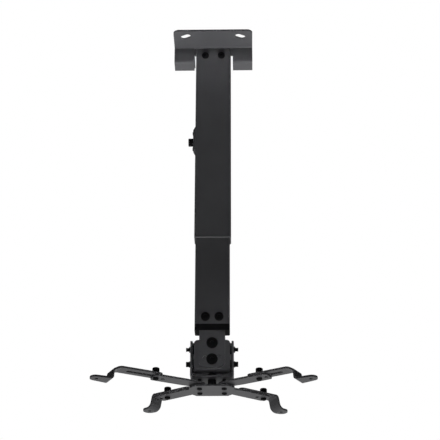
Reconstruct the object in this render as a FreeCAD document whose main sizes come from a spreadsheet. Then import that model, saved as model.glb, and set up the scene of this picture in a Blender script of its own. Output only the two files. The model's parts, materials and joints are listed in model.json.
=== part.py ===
"""Telescopic ceiling mount for a projector, with a rolling, tilting and swivelling head and four hook arms.

Millimetres. The origin is the middle of the face against the ceiling, +Z is up and -Y is the front.
"""
import FreeCAD, Part
import os
import re
import Sketcher

# Driving dimensions, one row of the sheet each
SIZES = {
    # folded ceiling bracket
    "bracket_gauge": 2.5,
    "bracket_width": 112.6,
    "front_flange": 44.0,
    "rear_ear": 30.0,
    "wing_drop": 27.0,
    "wing_gap": 3.0,
    "strip_slit": 0.4,
    "tab_clearance": 1.5,
    "bracket_corner": 8.0,
    "ear_corner": 5.0,
    "bend_inside": 1.0,
    "slot_width": 6.5,
    "slot_travel": 8.0,
    "slot_angle": 30.0,
    "slot_side": 39.0,
    "slot_inset": 14.8,
    # outer tube
    "tube_width": 50.0,
    "tube_depth": 25.0,
    "tube_wall": 1.3,
    "tube_corner": 2.6,
    "tube_length": 302.4,
    "tube_lip": 1.1,
    "tube_top_gap": 1.6,
    # bolts that hold the tube in the bracket
    "top_bolt_drop": 15.8,
    "top_bolt_pitch": 23.0,
    "top_bolt_dia": 6.0,
    "top_head_dia": 10.2,
    "top_head_height": 3.2,
    # inner tube
    "slide_clearance": 0.4,
    "inner_length": 294.0,
    "inner_exposed": 125.3,
    "inner_wall": 1.3,
    # side lock of the telescope
    "lock_rise": 154.0,
    "lock_plate_length": 38.0,
    "lock_plate_lift": 2.0,
    "lock_plate_depth": 15.0,
    "lock_plate_thick": 3.2,
    "lock_plate_bevel": 2.6,
    "lock_screw_dia": 6.0,
    "lock_head_dia": 11.4,
    "lock_head_length": 6.6,
    "lock_tip_gap": 0.25,
    "lock_rivet_pitch": 25.0,
    "lock_rivet_dia": 4.0,
    "lock_rivet_head": 6.0,
    "lock_rivet_dome": 0.9,
    # neck bracket in the foot of the inner tube
    "neck_gauge": 2.5,
    "neck_width": 34.0,
    "neck_fit": 0.3,
    "neck_insert": 20.0,
    "neck_corner": 7.0,
    "neck_bolt_rise": 9.9,
    "neck_bolt_pitch": 18.0,
    "neck_bolt_dia": 6.0,
    "neck_head_dia": 12.0,
    "neck_head_height": 4.0,
    # end cap of the inner tube
    "cap_height": 8.7,
    "cap_spigot": 8.0,
    "cap_clearance": 0.3,
    # roll joint, about the front to back axis
    "roll_drop": 26.7,
    "roll_lock_radius": 22.5,
    "roll_swing": 24.0,
    "roll_bolt_dia": 6.0,
    "roll_head_dia": 15.0,
    "roll_head_height": 4.0,
    "tongue_below_lock": 10.7,
    # roll yoke, the folded tray between the two tongues
    "yoke_gauge": 2.5,
    "yoke_width": 47.6,
    "yoke_rise": 5.5,
    "yoke_fall": 36.6,
    "yoke_corner": 5.0,
    # tilt joint, about the left to right axis
    "tilt_drop": 6.0,
    "tilt_lock_radius": 20.5,
    "tilt_swing": 18.0,
    "tilt_bolt_dia": 5.0,
    "tilt_flange_dia": 8.2,
    "tilt_flange_height": 1.6,
    "tilt_pivot_end": 4.2,
    "tilt_lock_head": 6.4,
    "tilt_head_height": 5.6,
    "tilt_spacer": 1.8,
    "spacer_dia": 12.0,
    # tilt yoke, the U bracket that carries the spider
    "cheek_gauge": 2.7,
    "cheek_depth": 40.0,
    "cheek_rise": 13.0,
    "cheek_fall": 42.4,
    "cheek_crown": 9.0,
    # swivel joint, about the vertical axis
    "swivel_gap": 12.2,
    "stud_flange_dia": 18.0,
    "stud_flange_height": 3.6,
    "stud_dia": 11.2,
    "stud_thread_dia": 8.0,
    "swivel_washer_dia": 17.0,
    "swivel_washer_thick": 1.2,
    "swivel_nut_flats": 13.0,
    "swivel_nut_height": 5.6,
    # spider plate and the leg pivots on it
    "spider_gauge": 2.5,
    "spider_width": 59.0,
    "spider_depth": 40.0,
    "spider_corner": 9.0,
    "pivot_side": 16.0,
    "pivot_fore": 9.3,
    "pivot_dia": 5.0,
    "pivot_head_dia": 6.8,
    "pivot_head_height": 1.6,
    "pivot_nut_flats": 8.0,
    "pivot_nut_height": 4.6,
    "pivot_bolt_end": 1.2,
    "leg_spacer": 2.0,
    "leg_spacer_dia": 12.0,
    # pivoting legs
    "leg_gauge": 2.5,
    "leg_width": 20.0,
    "leg_heel": 8.0,
    "leg_taper": 22.0,
    "leg_length": 66.5,
    "leg_corner": 4.0,
    "clamp_inset": 4.5,
    "clamp_pitch": 10.0,
    # sliding hook arms
    "arm_gauge": 2.5,
    "arm_width": 20.0,
    "arm_length": 56.0,
    "arm_slot_near": 11.0,
    "arm_slot_far": 49.5,
    "arm_slot_width": 5.8,
    "arm_corner": 6.0,
    "near_ramp": 14.0,
    "near_ramp_drop": 4.6,
    "near_foot": 23.0,
    "far_ramp": 4.0,
    "far_ramp_drop": 1.3,
    "far_foot": 15.5,
    "hook_run": 3.2,
    "hook_drop": 16.4,
    "foot_tip": 9.6,
    "foot_hole_dia": 4.5,
    "foot_hole_inset": 8.5,
    # clamp knobs on the arms
    "clamp_dia": 5.0,
    "clamp_head_dia": 7.4,
    "clamp_head_height": 2.6,
    "knob_dia": 9.4,
    "knob_height": 8.3,
    "knob_bevel": 0.8,
    "knob_flute_dia": 1.6,
    # the pose of each leg, from the left-right line, and how far its arm is from the end of its travel
    "near_left_angle": 27.4,
    "near_right_angle": 29.4,
    "far_left_angle": 32.6,
    "far_right_angle": 34.0,
    "near_left_pull": 0.5,
    "near_right_pull": 7.5,
    "far_left_push": 0.3,
    "far_right_push": 3.0,
    # fits
    "bolt_clearance": 0.3,
    "running_clearance": 0.08,
    "face_clearance": 0.1,
    "thread_clearance": 0.05,
    "nut_height": 5.0,
    "nut_flats": 10.0,
    "thread_end": 1.0,
}

doc = FreeCAD.newDocument("projector_mount")
sheet = doc.addObject("Spreadsheet::Sheet", "sizes")
for row, (alias, number) in enumerate(SIZES.items(), start=1):
    sheet.set(f"A{row}", alias)
    sheet.set(f"B{row}", str(number))
    sheet.setAlias(f"B{row}", alias)
doc.recompute()

ORIGIN = FreeCAD.Vector(0, 0, 0)
ALONG_X = FreeCAD.Vector(1, 0, 0)
ALONG_Y = FreeCAD.Vector(0, 1, 0)
ALONG_Z = FreeCAD.Vector(0, 0, 1)
UPRIGHT = FreeCAD.Rotation()
HEAD_TO_FRONT = FreeCAD.Rotation(ALONG_X, 90)
HEAD_TO_BACK = FreeCAD.Rotation(ALONG_X, -90)
HEAD_TO_LEFT = FreeCAD.Rotation(ALONG_Y, -90)
HEAD_TO_RIGHT = FreeCAD.Rotation(ALONG_Y, 90)
HEAD_DOWN = FreeCAD.Rotation(ALONG_X, 180)
SAME_PLACE = 1e-3

# Levels and half sizes that several pieces share
HALF_TUBE = "tube_width / 2"
HALF_DEPTH = "tube_depth / 2"
INNER_WIDTH = "(tube_width - 2 * tube_wall - 2 * slide_clearance)"
INNER_DEPTH = "(tube_depth - 2 * tube_wall - 2 * slide_clearance)"
TUBE_BOTTOM = "(-bracket_gauge - tube_top_gap - tube_length)"
LOCK_LEVEL = f"({TUBE_BOTTOM} + lock_rise)"
INNER_BOTTOM = f"({TUBE_BOTTOM} - inner_exposed)"
ROLL_LEVEL = f"({INNER_BOTTOM} - roll_drop)"
TILT_LEVEL = f"({ROLL_LEVEL} - tilt_drop)"
NECK_HALF = f"({INNER_DEPTH} / 2 - inner_wall - neck_fit)"
YOKE_HALF = f"({NECK_HALF} - neck_gauge - neck_fit)"
CHEEK_INSIDE = "(yoke_width / 2 + tilt_spacer + face_clearance)"
CHEEK_OUTSIDE = f"({CHEEK_INSIDE} + cheek_gauge)"
CHEEK_FLOOR = f"({TILT_LEVEL} - cheek_fall)"
SPIDER_TOP = f"({CHEEK_FLOOR} - swivel_gap)"
LEG_FLOOR = f"({SPIDER_TOP} + leg_spacer + face_clearance)"
LEG_TOP = f"({LEG_FLOOR} + leg_gauge)"
ARM_FLOOR = f"({LEG_TOP} + face_clearance)"
ARM_TOP = f"({ARM_FLOOR} + arm_gauge)"

CLAMP_OUTER = "(leg_length - clamp_inset)"
CLAMP_INNER = f"({CLAMP_OUTER} - clamp_pitch)"

# Each leg: its name, the signs of its side and of its place fore or aft, its clamp hole and its arm's reach
LEGS = (
    ("near_left", -1, -1, CLAMP_OUTER, f"({CLAMP_OUTER} + arm_slot_far - near_left_pull)"),
    ("near_right", 1, -1, CLAMP_INNER, f"({CLAMP_INNER} + arm_slot_far - near_right_pull)"),
    ("far_left", -1, 1, CLAMP_INNER, "(leg_length + far_left_push)"),
    ("far_right", 1, 1, CLAMP_OUTER, f"({CLAMP_OUTER} + arm_slot_near + far_right_push)"),
)
exported = []


def cells(text):
    """The expression text with every size written as its cell of the sheet."""
    return re.sub(r"[a-z_]+", lambda word: f"sizes.{word[0]}" if word[0] in SIZES else word[0], str(text))


def value(text):
    """The number that an expression of sizes gives now."""
    return float(sheet.evalExpression(cells(text)))


def place(piece, x="0", y="0", z="0", rotation=UPRIGHT, angle=None):
    """Put a piece at a point given in sizes, turned as asked."""
    piece.Placement = FreeCAD.Placement(ORIGIN, rotation)
    for axis, text in zip("xyz", (x, y, z)):
        piece.setExpression(f"Placement.Base.{axis}", cells(text))
    if angle is not None:
        piece.Placement = FreeCAD.Placement(ORIGIN, FreeCAD.Rotation(ALONG_Z, 1))
        piece.setExpression("Placement.Rotation.Angle", cells(angle))


def new_body(label):
    body = doc.addObject("PartDesign::Body", label)
    body.Label = label
    return body


def new_sketch(body, plane):
    sketch = body.newObject("Sketcher::SketchObject", f"{body.Name}_outline")
    support = next(item for item in body.Origin.OriginFeatures if item.Role == plane)
    sketch.AttachmentSupport = [(support, "")]
    sketch.MapMode = "FlatFace"
    return sketch


def bind(sketch, constraint, text):
    index = sketch.addConstraint(constraint)
    sketch.setExpression(f"Constraints[{index}]", cells(text))


def pin_point(sketch, geometry, point, x, y):
    """Hold a point of the sketch at x, y from its origin."""
    bind(sketch, Sketcher.Constraint("DistanceX", -1, 1, geometry, point, value(x)), x)
    bind(sketch, Sketcher.Constraint("DistanceY", -1, 1, geometry, point, value(y)), y)


def draw_polygon(sketch, corners):
    """A closed outline of straight lines through corners given in sizes."""
    points = [FreeCAD.Vector(value(x), value(y), 0) for x, y in corners]
    lines = []
    for start, end in zip(points, points[1:] + points[:1]):
        lines.append(sketch.addGeometry(Part.LineSegment(start, end), False))
    for line, following in zip(lines, lines[1:] + lines[:1]):
        sketch.addConstraint(Sketcher.Constraint("Coincident", line, 2, following, 1))
    for line, (x, y) in zip(lines, corners):
        pin_point(sketch, line, 1, x, y)


def draw_rectangle(sketch, width, height, x="0", y="0"):
    left, right = f"{x} - ({width}) / 2", f"{x} + ({width}) / 2"
    low, high = f"{y} - ({height}) / 2", f"{y} + ({height}) / 2"
    draw_polygon(sketch, [(left, low), (right, low), (right, high), (left, high)])


def draw_circle(sketch, diameter, x="0", y="0"):
    centre = FreeCAD.Vector(value(x), value(y), 0)
    circle = sketch.addGeometry(Part.Circle(centre, ALONG_Z, value(diameter) / 2), False)
    pin_point(sketch, circle, 3, x, y)
    bind(sketch, Sketcher.Constraint("Diameter", circle, value(diameter)), diameter)


def join_tangent(sketch, pairs):
    """Join ends of arcs and lines smoothly: each pair is (piece, end, piece, end)."""
    for first, first_end, second, second_end in pairs:
        sketch.addConstraint(Sketcher.Constraint("Tangent", first, first_end, second, second_end))


def draw_slot(sketch, width, start, end):
    """A round-ended slot between two centres."""
    first = FreeCAD.Vector(value(start[0]), value(start[1]), 0)
    last = FreeCAD.Vector(value(end[0]), value(end[1]), 0)
    radius = value(width) / 2
    along = (last - first).normalize()
    side = FreeCAD.Vector(-along.y, along.x, 0) * radius
    tip = along * radius
    head = sketch.addGeometry(Part.Arc(first + side, first - tip, first - side), False)
    low = sketch.addGeometry(Part.LineSegment(first - side, last - side), False)
    tail = sketch.addGeometry(Part.Arc(last - side, last + tip, last + side), False)
    high = sketch.addGeometry(Part.LineSegment(last + side, first + side), False)
    join_tangent(sketch, [(head, 2, low, 1), (low, 2, tail, 1), (tail, 2, high, 1), (high, 2, head, 1)])
    pin_point(sketch, head, 3, *start)
    pin_point(sketch, tail, 3, *end)
    bind(sketch, Sketcher.Constraint("Radius", head, radius), f"({width}) / 2")


def draw_arc_slot(sketch, width, radius, swing):
    """A round-ended slot along an arc below the sketch's origin, as far to each side as the swing."""
    middle, half = value(radius), value(width) / 2
    turn = FreeCAD.Rotation(ALONG_Z, value(swing))
    back = FreeCAD.Rotation(ALONG_Z, -value(swing))

    def below(distance, rotation):
        return rotation.multVec(FreeCAD.Vector(0, -distance, 0))

    far, near = middle + half, middle - half
    tip = FreeCAD.Vector(half, 0, 0)
    right_tip = below(middle, turn) + turn.multVec(tip)
    left_tip = below(middle, back) - back.multVec(tip)
    outer = sketch.addGeometry(Part.Arc(below(far, back), below(far, UPRIGHT), below(far, turn)), False)
    right = sketch.addGeometry(Part.Arc(below(far, turn), right_tip, below(near, turn)), False)
    inner = sketch.addGeometry(Part.Arc(below(near, turn), below(near, UPRIGHT), below(near, back)), False)
    left = sketch.addGeometry(Part.Arc(below(near, back), left_tip, below(far, back)), False)
    joints = []
    for first, second in ((outer, right), (right, inner), (inner, left), (left, outer)):
        ends = [(a, b) for a in (1, 2) for b in (1, 2)]
        meeting = min(ends, key=lambda pair: sketch.getPoint(first, pair[0]).distanceToPoint(
            sketch.getPoint(second, pair[1])))
        joints.append((first, meeting[0], second, meeting[1]))
    join_tangent(sketch, joints)
    pin_point(sketch, outer, 3, "0", "0")
    sketch.addConstraint(Sketcher.Constraint("Coincident", inner, 3, outer, 3))
    bind(sketch, Sketcher.Constraint("Radius", outer, far), f"{radius} + ({width}) / 2")
    bind(sketch, Sketcher.Constraint("Radius", inner, near), f"{radius} - ({width}) / 2")
    for cap, sign in ((right, ""), (left, "-")):
        text = f"{sign}{radius} * sin({swing} * 1 deg)"
        bind(sketch, Sketcher.Constraint("DistanceX", -1, 1, cap, 3, sketch.getPoint(cap, 3).x), text)


def pad(body, sketch, length, symmetric=False, downward=False):
    feature = body.newObject("PartDesign::Pad", f"{body.Name}_pad")
    feature.Profile = sketch
    feature.SideType = "Symmetric" if symmetric else "One side"
    feature.Reversed = downward
    feature.setExpression("Length", cells(length))
    doc.recompute()
    return feature


def cut_through(body, sketch):
    """Cut the sketch's outline right through the body, and make sure that it met metal."""
    before = body.Shape.Volume
    feature = body.newObject("PartDesign::Pocket", f"{body.Name}_cut")
    feature.Profile = sketch
    feature.Type = "ThroughAll"
    feature.SideType = "Symmetric"
    doc.recompute()
    if not body.Shape.Volume < before:
        raise ValueError(f"{body.Label}: a cut met no metal")


def cut_deep(body, sketch, depth, reversed_cut=False):
    """Cut the sketch's outline into the body from its plane."""
    before = body.Shape.Volume
    feature = body.newObject("PartDesign::Pocket", f"{body.Name}_hollow")
    feature.Profile = sketch
    feature.Type = "Length"
    feature.Reversed = reversed_cut
    feature.setExpression("Length", cells(depth))
    doc.recompute()
    if not body.Shape.Volume < before:
        raise ValueError(f"{body.Label}: a hollow met no metal")


def edges_at(body, direction, spots):
    """Names of the straight edges along a direction that pass through any of the spots."""
    names = []
    for number, edge in enumerate(body.Shape.Edges, start=1):
        if edge.Curve.TypeId != "Part::GeomLine":
            continue
        if edge.Curve.Direction.cross(direction).Length > SAME_PLACE:
            continue
        middle = edge.valueAt((edge.FirstParameter + edge.LastParameter) / 2)
        for spot in spots:
            offset = middle - spot
            if (offset - direction * offset.dot(direction)).Length < SAME_PLACE:
                names.append(f"Edge{number}")
                break
    return names


def soften(body, kind, size, direction, spots):
    """Round or bevel the edges along a direction at the given spots, each an (x, y, z) in sizes."""
    body.Placement = FreeCAD.Placement()
    points = [FreeCAD.Vector(*(value(item) for item in spot)) for spot in spots]
    names = edges_at(body, direction, points)
    if not names:
        raise ValueError(f"{body.Label}: no edge to soften")
    feature = body.newObject(f"PartDesign::{kind}", f"{body.Name}_{kind.lower()}")
    feature.Base = (body.Tip if body.Tip != feature else feature.BaseFeature, names)
    feature.setExpression("Radius" if kind == "Fillet" else "Size", cells(size))
    doc.recompute()
    if "Invalid" in feature.State:
        raise ValueError(f"{body.Label}: an edge would not soften")


def mirror_spots(x, y, z="0"):
    """The four spots at plus and minus x and y."""
    return [(f"{a}({x})", f"{b}({y})", z) for a in ("-", "") for b in ("-", "")]


def turned(label, profile):
    """A piece turned about Z from a half outline of (radius, height) corners."""
    body = new_body(label)
    sketch = new_sketch(body, "XZ_Plane")
    draw_polygon(sketch, profile)
    feature = body.newObject("PartDesign::Revolution", f"{label}_turning")
    feature.Profile = sketch
    feature.ReferenceAxis = (sketch, ["V_Axis"])
    feature.Angle = 360
    doc.recompute()
    return body


def bolt(label, head_dia, head_height, shank_dia, length):
    """A button-headed bolt, its head's seat at z 0 and its shank below."""
    head, shank, rim = f"{head_dia} / 2", f"{shank_dia} / 2", f"{head_height} * 0.45"
    crown = f"{head_dia} * 0.32"
    profile = [("0", f"-({length})"), (shank, f"-({length})"), (shank, "0"), (head, "0"), (head, rim)]
    return turned(label, profile + [(crown, head_height), ("0", head_height)])


def stub_bolt(label, stub_dia, length):
    """A side bolt of the head: a flange that seats at z 0, a narrower end above it and the shank below."""
    flange, seat, stub, shank = "tilt_flange_dia / 2", "tilt_flange_height", f"{stub_dia} / 2", "tilt_bolt_dia / 2"
    return turned(label, [
        ("0", f"-({length})"), (shank, f"-({length})"), (shank, "0"), (flange, "0"), (flange, seat),
        (stub, seat), (stub, "tilt_head_height"), ("0", "tilt_head_height"),
    ])


def ring(label, outside, inside, thickness):
    """A washer or spacer that stands on z 0."""
    outer, inner = f"({outside}) / 2", f"({inside}) / 2"
    return turned(label, [(inner, "0"), (outer, "0"), (outer, thickness), (inner, thickness)])


def hex_nut(label, flats, bore, height):
    """A hexagon nut that stands on z 0."""
    body = new_body(label)
    sketch = new_sketch(body, "XY_Plane")
    corner = f"{flats} / sqrt(3)"
    corners = [(f"{corner} * cos({60 * k} deg)", f"{corner} * sin({60 * k} deg)") for k in range(6)]
    draw_polygon(sketch, corners)
    draw_circle(sketch, bore)
    pad(body, sketch, height)
    return body


def keep(piece):
    """Mark a finished piece as one of the mount's nodes."""
    exported.append(piece)
    return piece


def group(label, pieces):
    """Like pieces that share one node."""
    compound = doc.addObject("Part::Compound", label)
    compound.Label = label
    compound.Links = pieces
    return keep(compound)


def make_ceiling_bracket():
    """One folded sheet: a front flange, two boxed wings with rear ears, and a strip and tab over the tube."""
    body = new_body("ceiling_bracket")
    front, gauge = HALF_DEPTH, "bracket_gauge"
    nose, tail = f"{front} + front_flange", f"{front} + rear_ear"
    profile = new_sketch(body, "YZ_Plane")
    draw_polygon(profile, [
        (f"-({nose})", "0"), (f"-({nose})", f"-{gauge}"), (f"-({front})", f"-{gauge}"),
        (f"-({front})", "-wing_drop"), (front, "-wing_drop"), (front, f"-{gauge}"), (tail, f"-{gauge}"),
        (tail, "0"), (f"{front} - {gauge}", "0"), (f"{front} - {gauge}", f"{gauge} - wing_drop"),
        (f"{gauge} - {front}", f"{gauge} - wing_drop"), (f"{gauge} - {front}", "0"),
    ])
    pad(body, profile, "bracket_width", symmetric=True)
    for y, z, size in (
        (f"-({front})", f"-{gauge}", "bend_inside"), (front, f"-{gauge}", "bend_inside"),
        (f"{gauge} - {front}", "0", "bend_inside + bracket_gauge"),
        (f"{front} - {gauge}", "0", "bend_inside + bracket_gauge"),
        (f"-({front})", "-wing_drop", "bend_inside + bracket_gauge"),
        (front, "-wing_drop", "bend_inside + bracket_gauge"),
        (f"{gauge} - {front}", f"{gauge} - wing_drop", "bend_inside"),
        (f"{front} - {gauge}", f"{gauge} - wing_drop", "bend_inside"),
    ):
        soften(body, "Fillet", size, ALONG_X, [("0", y, z)])
    opening = new_sketch(body, "XY_Plane")
    side, rear = f"{HALF_TUBE} + wing_gap", f"{tail} + bracket_gauge"
    draw_polygon(opening, [(f"-({side})", f"-({front})"), (side, f"-({front})"),
                           (side, rear), (f"-({side})", rear)])
    cut_through(body, opening)
    strip = new_sketch(body, "XY_Plane")
    strip_side = f"{side} - strip_slit"
    strip_end = f"{front} - tube_wall - bend_inside"
    draw_polygon(strip, [(f"-({strip_side})", f"-({front}) - bracket_gauge"),
                         (strip_side, f"-({front}) - bracket_gauge"),
                         (strip_side, strip_end), (f"-({strip_side})", strip_end)])
    pad(body, strip, gauge, downward=True)
    tab = new_sketch(body, "YZ_Plane")
    draw_polygon(tab, [(strip_end, "0"), (strip_end, "-wing_drop"),
                       (f"{strip_end} - {gauge}", "-wing_drop"), (f"{strip_end} - {gauge}", "0")])
    pad(body, tab, "tube_width - 2 * tube_wall - 2 * tab_clearance", symmetric=True)
    holes = new_sketch(body, "XZ_Plane")
    for sign in ("-", ""):
        draw_circle(holes, "top_bolt_dia + bolt_clearance", f"{sign}top_bolt_pitch / 2", "-top_bolt_drop")
    cut_through(body, holes)
    slots = new_sketch(body, "XY_Plane")
    half_x = "slot_travel / 2 * cos(slot_angle * 1 deg)"
    half_y = "slot_travel / 2 * sin(slot_angle * 1 deg)"
    for x_sign in (-1, 1):
        for y_sign, edge in ((-1, nose), (1, tail)):
            x, y = f"{x_sign} * slot_side", f"{y_sign} * ({edge} - slot_inset)"
            draw_slot(slots, "slot_width",
                      (f"{x} - {x_sign} * {half_x}", f"{y} + {y_sign} * {half_y}"),
                      (f"{x} + {x_sign} * {half_x}", f"{y} - {y_sign} * {half_y}"))
    cut_through(body, slots)
    half_width = "bracket_width / 2"
    soften(body, "Fillet", "bracket_corner", ALONG_Z,
           [(f"-{half_width}", f"-({nose})", "0"), (half_width, f"-({nose})", "0")])
    soften(body, "Fillet", "ear_corner", ALONG_Z, [(f"-{half_width}", tail, "0"), (half_width, tail, "0")])
    return keep(body)


def make_tube(label, width, depth, wall, length, bottom, holes):
    """A rectangular tube with rounded corners, standing on its bottom level."""
    body = new_body(label)
    outline = new_sketch(body, "XY_Plane")
    draw_rectangle(outline, width, depth)
    pad(body, outline, length)
    soften(body, "Fillet", "tube_corner", ALONG_Z, mirror_spots(f"{width} / 2", f"{depth} / 2"))
    bore = new_sketch(body, "XY_Plane")
    inside, inside_depth = f"{width} - 2 * {wall}", f"{depth} - 2 * {wall}"
    draw_rectangle(bore, inside, inside_depth)
    cut_through(body, bore)
    soften(body, "Fillet", f"tube_corner - {wall}", ALONG_Z,
           mirror_spots(f"({inside}) / 2", f"({inside_depth}) / 2"))
    for plane, diameter, spots in holes:
        drill = new_sketch(body, plane)
        for x, z in spots:
            draw_circle(drill, diameter, x, f"{z} - {bottom}")
        cut_through(body, drill)
    return body


def make_tubes():
    outer = make_tube("outer_tube", "tube_width", "tube_depth", "tube_wall", "tube_length", TUBE_BOTTOM, [
        ("XZ_Plane", "top_bolt_dia + bolt_clearance",
         [("-top_bolt_pitch / 2", "-top_bolt_drop"), ("top_bolt_pitch / 2", "-top_bolt_drop")]),
    ])
    lock_hole = new_sketch(outer, "YZ_Plane")
    draw_circle(lock_hole, "lock_screw_dia + 2 * running_clearance", "0", f"{LOCK_LEVEL} - {TUBE_BOTTOM}")
    cut_left_wall(outer, lock_hole)
    soften_rim(outer)
    place(keep(outer), z=TUBE_BOTTOM)
    inner = make_tube("inner_tube", INNER_WIDTH, INNER_DEPTH, "inner_wall", "inner_length", INNER_BOTTOM, [
        ("XZ_Plane", "neck_bolt_dia + bolt_clearance",
         [(f"{sign}neck_bolt_pitch / 2", f"{INNER_BOTTOM} + neck_bolt_rise") for sign in ("-", "")]),
    ])
    place(keep(inner), z=INNER_BOTTOM)


def cut_left_wall(body, sketch):
    """Drill the left wall only."""
    cut_deep(body, sketch, "tube_width")


def soften_rim(body):
    """Bevel the outside of the tube's lower rim, where it slips over the inner tube."""
    names = []
    half_width, half_depth = value(HALF_TUBE), value(HALF_DEPTH)
    for number, edge in enumerate(body.Shape.Edges, start=1):
        box = edge.BoundBox
        on_side = abs(max(abs(box.XMin), abs(box.XMax)) - half_width) < SAME_PLACE
        on_face = abs(max(abs(box.YMin), abs(box.YMax)) - half_depth) < SAME_PLACE
        if box.ZMax < SAME_PLACE and (on_side or on_face):
            names.append(f"Edge{number}")
    bevel = body.newObject("PartDesign::Chamfer", "rim_bevel")
    bevel.Base = (bevel.BaseFeature, names)
    bevel.setExpression("Size", cells("tube_lip"))
    doc.recompute()


def make_top_bolts():
    grip = "tube_depth + nut_height + thread_end"
    bolts, nuts = [], []
    for number, sign in enumerate(("-", ""), start=1):
        x = f"{sign}top_bolt_pitch / 2"
        screw = bolt(f"top_bolt_{number}", "top_head_dia", "top_head_height", "top_bolt_dia", grip)
        place(screw, x, f"-{HALF_DEPTH}", "-top_bolt_drop", HEAD_TO_FRONT)
        bolts.append(screw)
        bore = "top_bolt_dia + 2 * thread_clearance"
        nut = hex_nut(f"top_nut_{number}", "nut_flats", bore, "nut_height")
        place(nut, x, HALF_DEPTH, "-top_bolt_drop", HEAD_TO_BACK)
        nuts.append(nut)
    group("top_bolts", bolts)
    group("top_nuts", nuts)


def make_side_lock():
    """The strap on the left wall, its two rivets and the thumb screw that grips the inner tube."""
    plate = new_body("lock_plate")
    side = new_sketch(plate, "XZ_Plane")
    bevel, thick = "lock_plate_bevel", "lock_plate_thick"
    low, high = "(lock_plate_lift - lock_plate_length / 2)", "(lock_plate_lift + lock_plate_length / 2)"
    draw_polygon(side, [("0", low), ("0", high), (f"{bevel} - {thick}", high),
                        (f"-{thick}", f"{high} - {bevel} * 2"), (f"-{thick}", f"{low} + {bevel} * 2"),
                        (f"{bevel} - {thick}", low)])
    pad(plate, side, "lock_plate_depth", symmetric=True)
    holes = new_sketch(plate, "YZ_Plane")
    draw_circle(holes, "lock_screw_dia + 2 * running_clearance")
    for sign in "-+":
        level = f"lock_plate_lift {sign} lock_rivet_pitch / 2"
        draw_circle(holes, "lock_rivet_dia + 2 * thread_clearance", "0", level)
    cut_through(plate, holes)
    place(keep(plate), f"-{HALF_TUBE}", "0", LOCK_LEVEL)
    rivets = []
    for number, sign in enumerate("-+", start=1):
        rivet = bolt(f"lock_rivet_{number}", "lock_rivet_head", "lock_rivet_dome", "lock_rivet_dia", thick)
        height = f"{LOCK_LEVEL} + lock_plate_lift {sign} lock_rivet_pitch / 2"
        place(rivet, f"-{HALF_TUBE} - {thick}", "0", height, HEAD_TO_LEFT)
        rivets.append(rivet)
    group("lock_rivets", rivets)
    reach = "face_clearance + lock_plate_thick + tube_wall + slide_clearance - lock_tip_gap"
    screw = bolt("lock_screw", "lock_head_dia", "lock_head_length", "lock_screw_dia", reach)
    place(keep(screw), f"-{HALF_TUBE} - {thick} - face_clearance", "0", LOCK_LEVEL, HEAD_TO_LEFT)


def make_neck():
    """The inverted U in the foot of the inner tube with two tongues, its bolts and the end cap."""
    neck = new_body("neck_bracket")
    side = new_sketch(neck, "YZ_Plane")
    top, foot = "roll_drop + neck_insert", "-roll_lock_radius - tongue_below_lock"
    inside = f"{NECK_HALF} - neck_gauge"
    draw_polygon(side, [
        (f"-{NECK_HALF}", foot), (f"-{NECK_HALF}", top), (NECK_HALF, top), (NECK_HALF, foot),
        (inside, foot), (inside, f"{top} - neck_gauge"),
        (f"-({inside})", f"{top} - neck_gauge"), (f"-({inside})", foot),
    ])
    pad(neck, side, "neck_width", symmetric=True)
    bends = ((NECK_HALF, top, "bend_inside + neck_gauge"), (inside, f"{top} - neck_gauge", "bend_inside"))
    for y, z, size in bends:
        soften(neck, "Fillet", size, ALONG_X, [("0", f"-({y})", z), ("0", y, z)])
    soften(neck, "Fillet", "neck_corner", ALONG_Y,
           [("-neck_width / 2", "0", foot), ("neck_width / 2", "0", foot)])
    holes = new_sketch(neck, "XZ_Plane")
    draw_circle(holes, "roll_bolt_dia + 2 * running_clearance")
    draw_arc_slot(holes, "roll_bolt_dia + 2 * bolt_clearance", "roll_lock_radius", "roll_swing")
    for x in ("-neck_bolt_pitch / 2", "neck_bolt_pitch / 2"):
        draw_circle(holes, "neck_bolt_dia + bolt_clearance", x, "roll_drop + neck_bolt_rise")
    cut_through(neck, holes)
    place(keep(neck), z=ROLL_LEVEL)

    grip = f"{INNER_DEPTH} + nut_height + thread_end"
    bolts, nuts = [], []
    for number, sign in enumerate(("-", ""), start=1):
        spot = (f"{sign}neck_bolt_pitch / 2", f"{INNER_BOTTOM} + neck_bolt_rise")
        screw = bolt(f"neck_bolt_{number}", "neck_head_dia", "neck_head_height", "neck_bolt_dia", grip)
        place(screw, spot[0], f"-{INNER_DEPTH} / 2", spot[1], HEAD_TO_FRONT)
        bolts.append(screw)
        bore = "neck_bolt_dia + 2 * thread_clearance"
        nut = hex_nut(f"neck_nut_{number}", "nut_flats", bore, "nut_height")
        place(nut, spot[0], f"{INNER_DEPTH} / 2", spot[1], HEAD_TO_BACK)
        nuts.append(nut)
    group("neck_bolts", bolts)
    group("neck_nuts", nuts)

    cap = new_body("end_cap")
    flange = new_sketch(cap, "XY_Plane")
    draw_rectangle(flange, INNER_WIDTH, INNER_DEPTH)
    pad(cap, flange, "cap_height", downward=True)
    soften(cap, "Fillet", "tube_corner", ALONG_Z, mirror_spots(f"{INNER_WIDTH} / 2", f"{INNER_DEPTH} / 2"))
    spigot = new_sketch(cap, "XY_Plane")
    wide = f"{INNER_WIDTH} - 2 * inner_wall - 2 * cap_clearance"
    deep = f"{INNER_DEPTH} - 2 * inner_wall - 2 * cap_clearance"
    draw_rectangle(spigot, wide, deep)
    pad(cap, spigot, "cap_spigot")
    soften(cap, "Fillet", "tube_corner - inner_wall", ALONG_Z, mirror_spots(f"({wide}) / 2", f"({deep}) / 2"))
    window = new_sketch(cap, "XY_Plane")
    draw_rectangle(window, "neck_width + 2 * cap_clearance", f"2 * {NECK_HALF} + 2 * cap_clearance")
    cut_through(cap, window)
    place(keep(cap), z=INNER_BOTTOM)


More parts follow.
